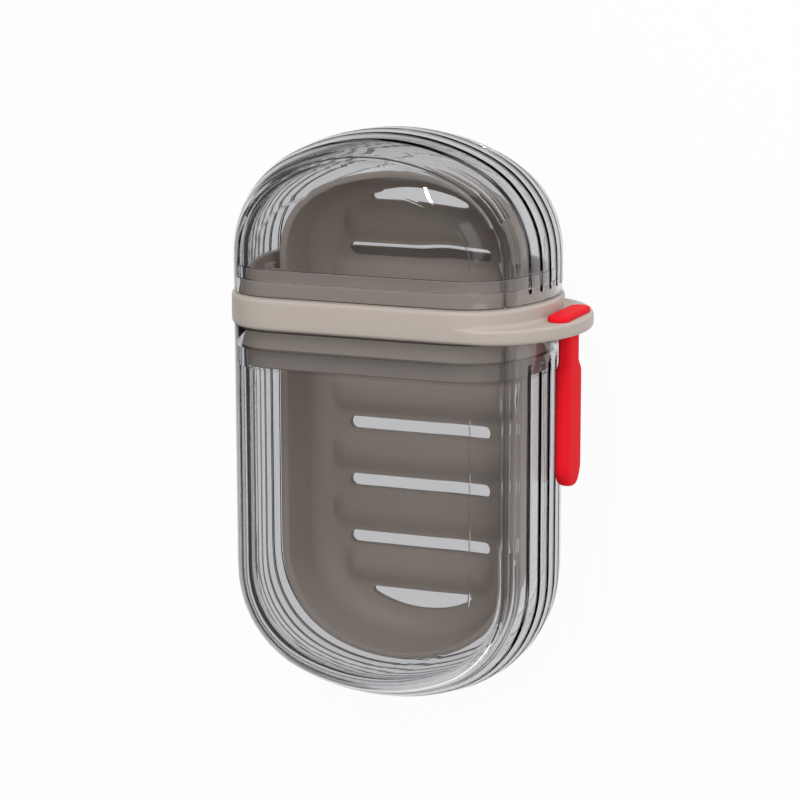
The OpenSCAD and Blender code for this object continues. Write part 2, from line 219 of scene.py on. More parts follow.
def arch_path(rim, centre, arch, stations, n_turn=66):
    """Plan outline from the rim on the right, over the arch, to the rim on the left.
    Gives places, outward normals and the distance from the rim along each straight."""
    a, c = arch
    r1 = HALF_W - a
    r2 = r1 + math.hypot(a, c)
    turn = math.atan2(c, a)
    lead = 4.0
    parts = [(r2 * (QUARTER - turn), 1 / r2), (r1 * turn, 1 / r1), (lead, 0.0)]
    q = fair_curve(parts, SOFTEN, (HALF_W, r2 - c + lead))
    start = centre - lead
    straight = [(HALF_W, y, 1.0, 0.0) for y in stations if y < start]
    length = q[0][-1]
    fixed = [length - (y - start) for y in stations if y >= start]
    marks = [d for d in np.linspace(length, 0, n_turn + 1) if all(abs(d - e) > 0.3 for e in fixed)]
    curve = at(q, 0, sorted(marks + fixed, reverse=True))
    rows = np.array(straight + [(x, start + y, nx, ny) for _, x, y, nx, ny in curve])
    rows = np.concatenate([rows, rows[-2::-1] * (-1, 1, -1, 1)])
    return rows[:, :2], rows[:, 2:], np.abs(rows[:, 1] - rim)


# Meshes and objects
def new_mesh(name, verts, faces, scale=MM):
    """Mesh from places in millimetres."""
    me = bpy.data.meshes.new(name)
    me.from_pydata([tuple(v) for v in np.asarray(verts, float) * scale], [], faces)
    me.validate()
    return me


def new_object(name, me):
    """Object in the scene with the given mesh."""
    ob = bpy.data.objects.new(name, me)
    bpy.context.scene.collection.objects.link(ob)
    return ob


def smooth(me, angle):
    """Smooth shading that keeps edges sharp where the faces turn by more than the angle in degrees."""
    me.shade_smooth()
    me.set_sharp_from_angle(angle=math.radians(angle))


def outward_normals(me):
    """Turns all faces of a closed mesh outward."""
    bm = bmesh.new()
    bm.from_mesh(me)
    bmesh.ops.recalc_face_normals(bm, faces=bm.faces)
    if bm.calc_volume(signed=True) < 0:
        bmesh.ops.reverse_faces(bm, faces=bm.faces)
    bm.to_mesh(me)
    bm.free()


def keep_result(ob):
    """Swaps an object's mesh for what its modifiers make of it, and removes them."""
    bpy.context.view_layer.update()
    deps = bpy.context.evaluated_depsgraph_get()
    me = bpy.data.meshes.new_from_object(ob.evaluated_get(deps), depsgraph=deps)
    ob.modifiers.clear()
    old = ob.data
    ob.data = me
    bpy.data.meshes.remove(old)


def apply_nodes(ob, tree, **values):
    """Puts a node tree on an object, evaluates it once and keeps only the result."""
    mod = ob.modifiers.new("Form", "NODES")
    mod.node_group = tree
    ids = {s.name: s.identifier for s in tree.interface.items_tree if s.in_out == "INPUT"}
    for key, value in values.items():
        mod[ids[key.replace("_", " ")]] = value
    keep_result(ob)


def combine(ob, other, operation="DIFFERENCE"):
    """Cuts one closed piece out of another, or joins it on with operation UNION."""
    mod = ob.modifiers.new("Cut", "BOOLEAN")
    mod.operation = operation
    mod.solver = "EXACT"
    mod.object = other
    keep_result(ob)
    me = other.data
    bpy.data.objects.remove(other)
    bpy.data.meshes.remove(me)


def settle(ob, body, node):
    """Finished piece: it rides on its body, stands for its CAD node and has its material slot."""
    if not ob.data.polygons:
        raise RuntimeError(f"{ob.name} came out empty")
    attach(ob, body)
    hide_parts(node)


# Node trees
def put(tree, kind, inputs=None, **settings):
    """Adds a node with its settings, and gives its inputs values or links from other nodes."""
    node = tree.nodes.new(kind)
    for key, value in settings.items():
        setattr(node, key, value)
    for key, value in (inputs or {}).items():
        if isinstance(value, bpy.types.NodeSocket):
            tree.links.new(value, node.inputs[key])
        else:
            node.inputs[key].default_value = value
    return node


def highest(tree, *values):
    """The highest of some values."""
    last = values[0]
    for value in values[1:]:
        last = put(tree, "ShaderNodeMath", {0: last, 1: value}, operation="MAXIMUM").outputs[0]
    return last


def start_tree(name, *inputs):
    """Geometry node tree with named inputs, each given by name, kind of socket and default."""
    tree = bpy.data.node_groups.new(name, "GeometryNodeTree")
    for key, kind, value in (("Geometry", "Geometry", None), *inputs, ("Material", "Material", None)):
        socket = tree.interface.new_socket(key, in_out="INPUT", socket_type="NodeSocket" + kind)
        if value is not None:
            socket.default_value = value
    tree.interface.new_socket("Geometry", in_out="OUTPUT", socket_type="NodeSocketGeometry")
    return tree, tree.nodes.new("NodeGroupInput").outputs


def end_tree(tree, group, geometry):
    """Ends a geometry node tree with Realize Instances and Set Material."""
    real = put(tree, "GeometryNodeRealizeInstances", {0: geometry})
    paint = put(tree, "GeometryNodeSetMaterial",
                {"Geometry": real.outputs[0], "Material": group["Material"]})
    put(tree, "NodeGroupOutput", {0: paint.outputs[0]})
    return tree


def shell_tree():
    """Node tree that bends a flat sheet of stations into the grooved shell."""
    tree, group = start_tree(
        "Grooved shell", ("Wall", "Float", 3.0 * MM), ("Groove depth", "Float", 0.8 * MM),
        ("Lift", "Float", LIFT * MM), ("Shift", "Float", SHIFT * MM))

    def attr(name, kind="FLOAT"):
        node = put(tree, "GeometryNodeInputNamedAttribute", {"Name": name}, data_type=kind)
        return node.outputs["Attribute"]

    def calc(operation, *values):
        return put(tree, "ShaderNodeMath", dict(enumerate(values)), operation=operation).outputs[0]

    wall = calc("MULTIPLY", attr("layer"), group["Wall"])
    thick = calc("MULTIPLY_ADD", attr("notch"), group["Groove depth"], wall)
    inset = calc("MULTIPLY_ADD", thick, attr("lean"), attr("inset"))
    height = calc("SUBTRACT", attr("height"), calc("MULTIPLY", thick, attr("rise")))
    back = calc("MULTIPLY", inset, -1.0)
    across = put(tree, "ShaderNodeVectorMath", {0: attr("outward", "FLOAT_VECTOR"), "Scale": back},
                 operation="SCALE")
    up = put(tree, "ShaderNodeCombineXYZ", {"X": group["Shift"], "Z": calc("ADD", height, group["Lift"])})
    move = put(tree, "ShaderNodeVectorMath", {0: across.outputs[0], 1: up.outputs[0]})
    place = put(tree, "GeometryNodeSetPosition", {"Geometry": group["Geometry"], "Offset": move.outputs[0]})
    return end_tree(tree, group, place.outputs[0])


def slot_tree():
    """Node tree that repeats one long rounded slot cutter down the tray."""
    tree, group = start_tree("Slot row", ("Count", "Int", 6), ("Pitch", "Float", 13.68 * MM),
                             ("First", "Vector", None))
    step = put(tree, "ShaderNodeCombineXYZ", {"Y": group["Pitch"]})
    line = put(tree, "GeometryNodeMeshLine",
               {"Count": group["Count"], "Start Location": group["First"], "Offset": step.outputs[0]})
    row = put(tree, "GeometryNodeInstanceOnPoints",
              {"Points": line.outputs[0], "Instance": group["Geometry"]})
    return end_tree(tree, group, row.outputs[0])


# Materials
def shader(name):
    """New material with only its output node."""
    ma = bpy.data.materials.new(name)
    ma.use_nodes = True
    ma.node_tree.nodes.clear()
    return ma, ma.node_tree, ma.node_tree.nodes.new("ShaderNodeOutputMaterial")


def clear_material(tint):
    """Clear faintly smoky plastic. Shadow rays and diffuse rays go straight through it."""
    ma, nt, out = shader("Clear_smoky_plastic")
    # painted shade: the rim's cut faces are darkened so that a dark shade line shows where the shell meets
    # the ring, and the thin mouth is darkened a little too
    rim = put(nt, "ShaderNodeAttribute", attribute_name="rim")
    tone = put(nt, "ShaderNodeMix", {"A": WHITE, "B": (0.05, 0.05, 0.05, 1), "Factor": rim.outputs["Fac"]},
               data_type="RGBA")
    glass = put(nt, "ShaderNodeBsdfPrincipled", {"Base Color": tone.outputs["Result"], "Roughness": 0.0,
                                                 "Transmission Weight": 1.0, "IOR": 1.5})
    clear = put(nt, "ShaderNodeBsdfTransparent", {"Color": (0.92, 0.92, 0.92, 1)})
    # the tint is what one wall of 3 mm lets through
    deep = [-math.log(t) / (3 * MM) for t in tint]
    colour = (*[1 - d / max(deep) for d in deep], 1)
    smoke = put(nt, "ShaderNodeVolumeAbsorption", {"Color": colour, "Density": max(deep)})
    path = put(nt, "ShaderNodeLightPath").outputs
    light = highest(nt, path["Is Shadow Ray"], path["Is Diffuse Ray"])
    mix = put(nt, "ShaderNodeMixShader", {0: light, 1: glass.outputs[0], 2: clear.outputs[0]})
    nt.links.new(smoke.outputs[0], out.inputs["Volume"])
    nt.links.new(mix.outputs[0], out.inputs["Surface"])
    return ma


def plastic_material(name, colour, rough, grain, bump, gloss):
    """Opaque moulded plastic or silicone with a very fine grain."""
    ma, nt, out = shader(name)
    coord = put(nt, "ShaderNodeTexCoord")
    noise = put(nt, "ShaderNodeTexNoise", {"Vector": coord.outputs["Object"], "Scale": grain, "Detail": 3})
    spread = put(nt, "ShaderNodeMapRange",
                 {"Value": noise.outputs["Fac"], "To Min": rough - 0.05, "To Max": rough + 0.05})
    tone = put(nt, "ShaderNodeMix", {"A": (*[c * 0.97 for c in colour], 1), "B": (*colour, 1),
                                     "Factor": noise.outputs["Fac"]}, data_type="RGBA")
    skin = put(nt, "ShaderNodeBump",
               {"Strength": bump, "Distance": 0.02 * MM, "Height": noise.outputs["Fac"]})
    body = put(nt, "ShaderNodeBsdfPrincipled",
               {"Base Color": tone.outputs["Result"], "Roughness": spread.outputs[0], "IOR": 1.47,
                "Specular IOR Level": gloss, "Normal": skin.outputs[0]})
    nt.links.new(body.outputs[0], out.inputs["Surface"])
    return ma


def taupe_material(context):
    """The ring's and the tray's shared material."""
    ma = bpy.data.materials.get("Taupe_plastic")
    taupe = context.scene.soapbox_plastics.taupe
    return ma or plastic_material("Taupe_plastic", taupe, rough=0.45, grain=9000, bump=0.2, gloss=0.35)


def floor_material(p):
    """Pale floor that keeps the shadow and is lit from inside where the camera sees it. Gloss and
    clear plastic see it end some way off, as a studio sheet does."""
    ma, nt, out = shader("Pale_floor")
    path = put(nt, "ShaderNodeLightPath").outputs
    seen = highest(nt, path["Is Camera Ray"], path["Is Glossy Ray"], path["Is Transmission Ray"])
    share = put(nt, "ShaderNodeMath", {0: seen, 1: p.backdrop}, operation="MULTIPLY")
    coord = put(nt, "ShaderNodeTexCoord")
    away = put(nt, "ShaderNodeVectorMath", {0: coord.outputs["Object"], 1: p.sheet_place},
               operation="DISTANCE")
    sheet = put(nt, "ShaderNodeMapRange",
                {"Value": away.outputs["Value"], "From Min": p.sheet * 0.9, "From Max": p.sheet,
                 "To Min": 1.0, "To Max": 0.04}, interpolation_type="SMOOTHSTEP")
    tone = put(nt, "ShaderNodeMix", {"Factor": path["Is Camera Ray"], "A": sheet.outputs[0], "B": 1.0},
               data_type="FLOAT")
    plain = put(nt, "ShaderNodeBsdfDiffuse", {"Color": (0.9, 0.9, 0.9, 1)})
    white = put(nt, "ShaderNodeEmission", {"Color": WHITE, "Strength": tone.outputs["Result"]})
    mix = put(nt, "ShaderNodeMixShader", {0: share.outputs[0], 1: plain.outputs[0], 2: white.outputs[0]})
    nt.links.new(mix.outputs[0], out.inputs["Surface"])
    return ma


def soft_room(p):
    """World that is a little brighter overhead. Gloss and clear plastic see a dim room."""
    world = bpy.data.worlds.new("Soft_room")
    world.use_nodes = True
    wt = world.node_tree
    wt.nodes.clear()
    coord = put(wt, "ShaderNodeTexCoord")
    height = put(wt, "ShaderNodeSeparateXYZ", {0: coord.outputs["Generated"]}).outputs["Z"]
    ramp = put(wt, "ShaderNodeMapRange", {"Value": height, "From Min": 0.0, "From Max": 0.55,
                                          "To Min": 0.7, "To Max": 1.0}, interpolation_type="SMOOTHSTEP")
    shade = put(wt, "ShaderNodeMapRange", {"Value": height, "From Min": 0.0, "From Max": 0.9,
                                           "To Min": 0.02, "To Max": p.dim})
    sky = put(wt, "ShaderNodeBackground", {"Color": ramp.outputs[0], "Strength": p.sky})
    dim = put(wt, "ShaderNodeBackground", {"Color": shade.outputs[0]})
    path = put(wt, "ShaderNodeLightPath").outputs
    bent = highest(wt, path["Is Glossy Ray"], path["Is Transmission Ray"])
    mix = put(wt, "ShaderNodeMixShader", {0: bent, 1: sky.outputs[0], 2: dim.outputs[0]})
    put(wt, "ShaderNodeOutputWorld", {"Surface": mix.outputs[0]})
    return world


# Shells
def shell_path(shell):
    """Plan outline of a shell, with stations close together at the mouth's steps and where the
    grooves begin."""
    reach = shell.centre - shell.rim
    away = [0, 0.05, 0.12, 0.25]
    away += [shell.plain + k for k in (-0.3, 0, 0.3, 0.6)]
    away += [e + k for e in (shell.foot, shell.thin) for k in (-0.3, -STEP_R, STEP_R, 0.3)]
    # only the lower box has a long straight, with stations about 4 mm apart
    if reach > 20:
        away += list(np.linspace(max(shell.plain, shell.thin) + 0.9, reach - 4.5, 2 + int(reach / 6)))
    return arch_path(shell.rim, shell.centre, shell.arch, [shell.rim + d for d in sorted(away)])


def shell_columns(shell, path, profile, wall, crease):
    """What the node tree bends the sheet by: for each attribute the outer and the inner layer."""
    pts, nor, away = path
    nu, nv = len(pts), len(profile)
    names = ("inset", "height", "lean", "rise", "notch", "crease")
    cols = {name: np.tile(profile[:, i], nu) for i, name in enumerate(names)}
    full = shell.thin + STEP_R
    # share of the wall's thickness: the mouth is stepped like the collar that fills it
    foot, thin = MOUTH[0] / wall, MOUTH[1] / wall
    ends = (0, shell.foot - STEP_R, shell.foot + STEP_R, shell.thin - STEP_R, full, 99)
    thick = np.interp(away, ends, (foot, foot, thin, thin, 1, 1))
    # the fine lines grow from the mouth and fade out over the arch
    fine = np.clip((away - full) / 3, 0.15, 1) * np.clip(2.2 - away / (0.45 * away.max()), 0, 1)
    lines = cols["crease"] * crease * np.repeat(fine, nv)
    grooves = cols["notch"] * np.repeat(np.clip((away - shell.plain) / GROOVE_RUN, 0, 1), nv)
    edge = np.repeat(np.clip(1 - away / LIP, 0, 1) ** 2, nv) * LIP_IN
    # painted shade: a dark line at the rim; over the thin mouth a darker tint, which is smoke as deep as
    # elsewhere plus painted shade on the collar behind it
    rim = np.clip(2 - away / RIM_SHADE_RUN, MOUTH_SMOKE_AND_SHADE * (away < full), 1)
    out = np.column_stack([np.repeat(nor, nv, 0), np.zeros(nu * nv)])
    columns = {key: [] for key in (*BEND_KEYS, "rim")}
    for layer, sign in ((0, 1), (1, -1)):
        columns["layer"].append(np.repeat(thick, nv) * layer)
        columns["outward"].append(out)
        columns["inset"].append((cols["inset"] + sign * edge * cols["lean"]) * MM)
        columns["height"].append((cols["height"] - sign * edge * cols["rise"]) * MM)
        columns["lean"].append(cols["lean"])
        columns["rise"].append(cols["rise"])
        columns["notch"].append(lines if layer else grooves)
        columns["rim"].append(np.repeat(rim, nv))
    return {key: np.concatenate(parts).astype(np.float32) for key, parts in columns.items()}


def shell_faces(nu, nv):
    """Faces of a shell: both layers with their flat front and back, and the rim between them."""
    faces = []

    def v(layer, i, j):
        return layer * nu * nv + i * nv + j

    for layer in (0, 1):
        def quad(*ids):
            faces.append(ids if layer == 0 else ids[::-1])
        for i in range(nu - 1):
            for j in range(nv - 1):
                quad(v(layer, i, j), v(layer, i, j + 1), v(layer, i + 1, j + 1), v(layer, i + 1, j))
        for i in range((nu - 1) // 2):
            m, m1 = nu - 1 - i, nu - 2 - i
            for j, flip in ((0, False), (nv - 1, True)):
                ids = [v(layer, i, j), v(layer, i + 1, j), v(layer, m1, j), v(layer, m, j)]
                if i + 1 == m1:
                    ids.pop(2)
                quad(*(ids[::-1] if flip else ids))
    last = nu - 1
    for j in range(nv - 1):
        faces.append((v(0, 0, j + 1), v(0, 0, j), v(1, 0, j), v(1, 0, j + 1)))
        faces.append((v(0, last, j), v(0, last, j + 1), v(1, last, j + 1), v(1, last, j)))
    for j, a, b in ((0, 0, last), (nv - 1, last, 0)):
        faces.append((v(0, a, j), v(0, b, j), v(1, b, j), v(1, a, j)))
    return faces


def shell_base(shell, profile, wall, crease):
    """Sheet of stations, still flat: path places with the attributes the node tree bends it by."""
    path = shell_path(shell)
    nu, nv = len(path[0]), len(profile)
    sheet = np.column_stack([np.repeat(path[0], nv, 0), np.zeros(nu * nv)])
    me = new_mesh(shell.node + "_look", np.concatenate([sheet, sheet]), shell_faces(nu, nv))
    for key, column in shell_columns(shell, path, profile, wall, crease).items():
        if key == "outward":
            me.attributes.new(key, "FLOAT_VECTOR", "POINT").data.foreach_set("vector", column.ravel())
        else:
            me.attributes.new(key, "FLOAT", "POINT").data.foreach_set("value", column)
    return me


def clean_attributes(me):
    """Removes what only the bending needed. The rim attribute stays for the material: painted shade at the
    rim and over the thin mouth.
    """
    for key in BEND_KEYS:
        me.attributes.remove(me.attributes[key])


# Ring
def section_loop(n_corner, n_side, n_flat):
    """Closed case section from the front's middle, round by the tab side: places and normals (x, z)."""
    q = case_quarter()
    split = at(q, 2, [SPLIT_Z])[0][0]
    marks = np.concatenate([np.linspace(0, FACE_END, n_flat + 1)[:-1],
                            np.linspace(FACE_END, split, n_corner + 1)[:-1],
                            np.linspace(split, q[0][-1], n_side + 1)])
    rows = at(q, 0, marks)[:, 1:]
    rows = np.concatenate([rows, rows[-2::-1] * (1, -1, 1, -1)])
    rows = np.concatenate([rows, rows[-2:0:-1] * (-1, 1, -1, 1)])
    return rows[:, :2], rows[:, 2:]


def tab_reach(pts, nor):
    """How far the tab's outline stands out of the case section along each normal."""
    centre, corner_z = TAB_TIP - TAB_END_R, TAB_HALF - TAB_CORNER_R
    corner_x = centre + math.sqrt((TAB_END_R - TAB_CORNER_R) ** 2 - corner_z ** 2)
    turn = math.atan2(corner_z, corner_x - centre)

    def inside(x, z):
        if x <= corner_x and abs(z) <= TAB_HALF:
            return True
        if math.hypot(x - corner_x, abs(z) - corner_z) <= TAB_CORNER_R:
            return True
        return math.hypot(x - centre, z) <= TAB_END_R and abs(math.atan2(z, x - centre)) <= turn

    out = np.zeros(len(pts))
    steps = np.linspace(0, 14, 561)
    for i, (p, q) in enumerate(zip(pts, nor)):
        if p[0] > 0 and q[0] > 0:
            out[i] = max((t for t in steps if inside(*(p + q * t))), default=0.0)
    return out


def collar_face(root, way, foot, height):
    """Outer face of a collar from the ring to its tip: (along, offset from the case's skin)."""
    tip, step, heel = 0.3, 0.25, 0.2
    rows = [(0.02, FOOT), (foot - heel, FOOT), (foot, FOOT - heel), (foot, THIN + step), (foot + tip, THIN),
            (height - tip, THIN), (height, THIN - tip), (height, BORE + tip)]
    return [(root + way * h, offset) for h, offset in rows]


def round_edge(y, offset, r, a0, a1):
    """Quarter turn of radius r: (along, offset)."""
    return [(y + r * math.sin(t), offset + r * math.cos(t)) for t in np.linspace(a0, a1, 7)]


def ring_mesh():
    """Band, tab and both collars: one closed line of (along, offset), carried round the section."""
    pts, nor = section_loop(n_corner=18, n_side=36, n_flat=24)
    reach = np.maximum(tab_reach(pts, nor), PROUD)
    # a mean over seven places lets the tab's outline run into the band
    even = np.convolve(np.concatenate([reach[-3:], reach, reach[:3]]), np.ones(7) / 7, "valid")
    reach = np.maximum(np.where(reach > PROUD, even, reach), PROUD)
    y0, y1 = RING_Y, RING_Y + RING_H
    low = collar_face(y0, -1, *COLLAR_DOWN)[::-1] + [(y0, FOOT + 0.1), (y0, -0.4)]
    under = round_edge(y0 + TAB_EDGE, -TAB_EDGE, TAB_EDGE, -QUARTER, 0)
    over = round_edge(y0 + TAB_T - TAB_EDGE, -TAB_EDGE, TAB_EDGE, 0, QUARTER)
    band = round_edge(y1 - BAND_R, PROUD - BAND_R, BAND_R, 0, QUARTER)
    high = [(y1, FOOT + 0.4)] + collar_face(y1, 1, *COLLAR_UP)
    high += [(y1 + COLLAR_UP[1] - 0.3, BORE), (y0 - COLLAR_DOWN[1] + 0.3, BORE)]
    verts = []
    for p, q, d in zip(pts, nor, reach):
        # a plain band where there is no tab, an edge and a fillet of its own where there is
        far = min(max((d - PROUD) / TAB_BLEND, 0), 1)
        r = min(TAB_FILLET, max(d - TAB_EDGE * far - PROUD, 0))
        fillet = [(y0 + TAB_T + (r or TAB_FILLET) * (1 - math.cos(t)), PROUD + r * (1 - math.sin(t)))
                  for t in np.linspace(0, QUARTER, 7)[1:]]
        tab = [(y, d + o) for y, o in under] + [(y, d + o * far) for y, o in over]
        line = low + tab + fillet + band + high
        verts += [(p[0] + q[0] * o, y, p[1] + q[1] * o) for y, o in line]
    nu, nv = len(pts), len(verts) // len(pts)
    faces = []
    for i in range(nu):
        a, b = i * nv, (i + 1) % nu * nv
        faces += [(a + j, b + j, b + (j + 1) % nv, a + (j + 1) % nv) for j in range(nv)]
    return new_mesh("centre_ring_look", np.array(verts) + (SHIFT, 0, LIFT), faces)


# Tray
def tray_arch(arch, d, n):
    """Half of a tray end moved inwards by d, from the side to the middle, and its rise."""
    a, c = arch
    r1 = TRAY_HALF - a
    r2 = r1 + math.hypot(a, c)
    turn = math.atan2(c, a)
    line = [(a + (r1 - d) * math.cos(t), (r1 - d) * math.sin(t)) for t in np.linspace(0, turn, n + 1)]
    for t in np.linspace(turn, QUARTER, n + 1)[1:]:
        line.append(((r2 - d) * math.cos(t), (r2 - d) * math.sin(t) - c))
    return line, r2 - c


def tray_outline(d):
    """Closed tray outline moved inwards by d, from the lower middle up the right side."""
    n_arc, n_side = 26, 96
    top, top_rise = tray_arch(TRAY_TOP_ARCH, d, n_arc)
    low, low_rise = tray_arch(TRAY_LOW_ARCH, d, n_arc)
    y0, y1 = low_rise - TRAY_LOW, TRAY_TOP - top_rise
    right = [(x, y0 - y) for x, y in reversed(low)]
    right += [(TRAY_HALF - d, y) for y in np.linspace(y0, y1, n_side + 1)[1:-1]]
    right = np.array(right + [(x, y1 + y) for x, y in top])
    return np.concatenate([right, right[-2:0:-1] * (-1, 1)])


def tray_side(start, deep, r):
    """Sloping wall and wide turn down to the floor, from an inset at the rim: (inset, height)."""
    bend = deep - r
    rows = [(start + TRAY_DRAFT * t, (TRAY_LIP - bend) * t - TRAY_LIP) for t in np.linspace(0, 1, 7)[1:]]
    rows += [(start + TRAY_DRAFT + r * (1 - math.cos(t)), -bend - r * math.sin(t))
             for t in np.linspace(0, QUARTER, 13)[1:]]
    return rows


def ridge_places():
    """Middle and length of each rounded ridge, between the slots and beside the end openings."""
    step = (SLOT_LAST - SLOT_FIRST) / SLOT_STEPS
    gap = (SLOT_W / 2 + END_GAP) / 2
    places = [(SLOT_FIRST + (i + 0.5) * step, RIDGE_L) for i in range(SLOT_STEPS)]
    return places + [(SLOT_LAST + gap, END_RIDGE_L), (SLOT_FIRST - gap, END_RIDGE_L)]


def ridge_height(x, y):
    """Height of the soft rounded ridges above the tray's floor."""
    z = np.zeros_like(x)
    for middle, length in ridge_places():
        t = np.abs(y - middle) / (RIDGE_W / 2)
        e = np.clip((length / 2 - np.abs(x)) / (RIDGE_W * 0.4), 0, 1)
        bump = np.where(t < 1, np.cos(np.minimum(t, 1) * QUARTER), 0) * np.sin(e * QUARTER) ** 0.7
        z = np.maximum(z, bump * RIDGE_H)
    return z


def tray_mesh():
    """Open tray: rings down the inside and down the outside, each floor closed by straight rows."""
    under = TRAY_DEEP + TRAY_FLOOR
    inner = [(0.0, -0.5), (0.15, -0.15), (0.5, 0.0)]
    inner += [(TRAY_WALL - d, z) for d, z in reversed(inner)]
    inner += tray_side(TRAY_WALL, TRAY_DEEP, TRAY_TURN_IN)
    flat = TRAY_WALL + TRAY_DRAFT + TRAY_TURN_IN
    inner += [(d, -TRAY_DEEP) for d in np.linspace(flat, CAP_IN, 8)[1:]]
    outer = tray_side(0.0, under, TRAY_TURN) + [(CAP_IN, -under)]
    verts, faces = [], []
    n = len(tray_outline(0.0))

    def add_ring(d, z, ridges):
        """Adds the outline moved inwards by d at height z, and gives its first vertex."""
        p = tray_outline(d)
        rise = ridge_height(p[:, 0], p[:, 1]) if ridges else 0.0
        base = len(verts)
        verts.extend(np.column_stack([p, np.full(n, z) + rise]).tolist())
        return base

    def skin(rings, flip):
        """Adds the faces between neighbouring rings."""
        for a, b in zip(rings, rings[1:]):
            for i in range(n):
                j = (i + 1) % n
                faces.append((a + j, a + i, b + i, b + j) if flip else (a + i, a + j, b + j, b + i))

    def cap(base, z, ridges, flip):
        """Closes the last ring by rows that run straight across from its left to its right half."""
        cols, m = 24, n // 2 + 1
        grid = []
        for i in range(m):
            x, y = verts[base + i][:2]
            if i in (0, m - 1):
                grid.append([base + i] * (cols + 1))
                continue
            xs = np.linspace(-x, x, cols + 1)[1:-1]
            ys = np.full_like(xs, y)
            zs = z + (ridge_height(xs, ys) if ridges else 0 * xs)
            grid.append([base + n - i, *range(len(verts), len(verts) + len(xs)), base + i])
            verts.extend([list(q) for q in zip(xs, ys, zs)])
        for row, above in zip(grid, grid[1:]):
            for j in range(cols):
                ids = list(dict.fromkeys([row[j], row[j + 1], above[j + 1], above[j]]))
                if len(ids) > 2:
                    faces.append(tuple(ids[::-1] if flip else ids))

    inside = [add_ring(d, z, z < 2 * RIDGE_H - TRAY_DEEP) for d, z in inner]
    skin(inside, False)
    cap(inside[-1], -TRAY_DEEP, True, False)
    outside = [inside[0]] + [add_ring(d, z, False) for d, z in outer]
    skin(outside, True)
    cap(outside[-1], -under, False, True)
    return new_mesh("soap_tray_look", np.array(verts) + (SHIFT, 0, LIFT), faces)


def pill_outline(length, width, n=14):
    """Long slot with round ends."""
    r, pts = width / 2, []
    for s in (1, -1):
        for t in np.linspace(-s * QUARTER, -s * QUARTER + math.pi, n + 1):
            pts.append((s * (length / 2 - r) + r * math.cos(t), r * math.sin(t)))
    return pts


def bow_outline(radius, rise, corner, n=28):
    """Arc over a straight chord, with round corners between the two."""
    low = radius - rise
    reach = math.sqrt((radius - corner) ** 2 - (corner + low) ** 2)
    turn = math.atan2(reach, corner + low)
    line = [(radius * math.sin(t), radius * math.cos(t) - low) for t in np.linspace(turn, -turn, n + 1)]
    for s in (-1, 1):
        bend = np.linspace(turn, math.pi, 8)[1:][::-s]
        line += [(s * (reach + corner * math.sin(t)), corner + corner * math.cos(t)) for t in bend]
    return line


def rounded_loop(w, d, r, n=8):
    """Rounded rectangle, w thick and d deep, as points (x, z)."""
    r = min(r, w / 2 - 1e-4, d / 2 - 1e-4)
    pts = []
    for sx, sz, a0 in ((1, 1, 0), (-1, 1, 0.5), (-1, -1, 1), (1, -1, 1.5)):
        for a in np.linspace(0, QUARTER, n + 1) + a0 * math.pi:
            pts.append((sx * (w / 2 - r) + r * math.cos(a), sz * (d / 2 - r) + r * math.sin(a)))
    return pts


def prism(name, outline, z_span):
    """Upright block over an outline, placed from the middle of the case."""
    n = len(outline)
    verts = [(x + SHIFT, y, z + LIFT) for z in z_span for x, y in outline]
    faces = [tuple(range(n))[::-1], tuple(range(n, 2 * n))]
    faces += [(i, (i + 1) % n, n + (i + 1) % n, n + i) for i in range(n)]
    return new_object(name, new_mesh(name, verts, faces))


def rounded_block(name, x_span, y_span, z_span):
    """Flat block with rounded corners."""
    (x0, x1), (y0, y1) = sorted(x_span), y_span
    loop = rounded_loop(x1 - x0, y1 - y0, BLOCK_R, n=4)
    return prism(name, [(x + (x0 + x1) / 2, y + (y0 + y1) / 2) for x, y in loop], z_span)


# Strap
def loft(rows):
    """Closed skin through rounded loops: rows of (along, thick, deep, radius)."""
    verts, faces = [], []
    for y, w, d, r in rows:
        verts += [(STRAP_X + x, y, z) for x, z in rounded_loop(w, d, r)]
    n = len(verts) // len(rows)
    for k in range(len(rows) - 1):
        for i in range(n):
            a, b = k * n + i, k * n + (i + 1) % n
            faces.append((a, b, b + n, a + n))
    faces.append(tuple(range(n))[::-1])
    faces.append(tuple(range(len(verts) - n, len(verts))))
    return np.array(verts), faces


def paddle_rows():
    """Loops of the strap below its head: round end, paddle, shoulders and neck."""
    end, low, high = RING_Y - STRAP_L, RING_Y - NECK_L - SHOULDER_L, RING_Y - NECK_L
    r = STRAP_W / 2
    rows = []
    # the round end's loops begin 4 degrees in, where they are narrow and thin
    for a in np.radians(np.linspace(4, 90, 15)):
        thin = 1.6 * STRAP_EDGE * (1 - math.sin(min(a * 2.6, QUARTER)))
        rows.append((end + r * (1 - math.cos(a)), STRAP_T - thin, 2 * r * math.sin(a), STRAP_EDGE))
    rows += [(y, STRAP_T, STRAP_W, STRAP_EDGE) for y in np.linspace(end + r, low, 30)[1:]]
    for t in np.linspace(0, 1, 9)[1:]:
        s = t * t * (3 - 2 * t)
        rows.append((low + SHOULDER_L * t, STRAP_T + (NECK_T - STRAP_T) * s, STRAP_W + (NECK_W - STRAP_W) * s,
                     STRAP_EDGE + (NECK_EDGE - STRAP_EDGE) * s))
    return rows + [(y, NECK_T, NECK_W, NECK_EDGE) for y in np.linspace(high, RING_Y + TAB_T, 8)[1:]]


def head_rows():
    """Loops of the strap's flat head on the tab, with a softened lower and upper edge."""
    top, rows = RING_Y + TAB_T, []
    for t in np.linspace(0, 1, 7):
        inset = 0.3 * (1 - t)
        rows.append((top + 0.25 * t * (2 - t), HEAD_T - inset, HEAD_W - inset, HEAD_R))
    for t in np.linspace(0, QUARTER, 7)[1:]:
        inset = HEAD_EDGE * (1 - math.cos(t))
        rows.append((top + HEAD_H - HEAD_EDGE * (1 - math.sin(t)), HEAD_T - 2 * inset, HEAD_W - 2 * inset,
                     HEAD_R - inset))
    return rows


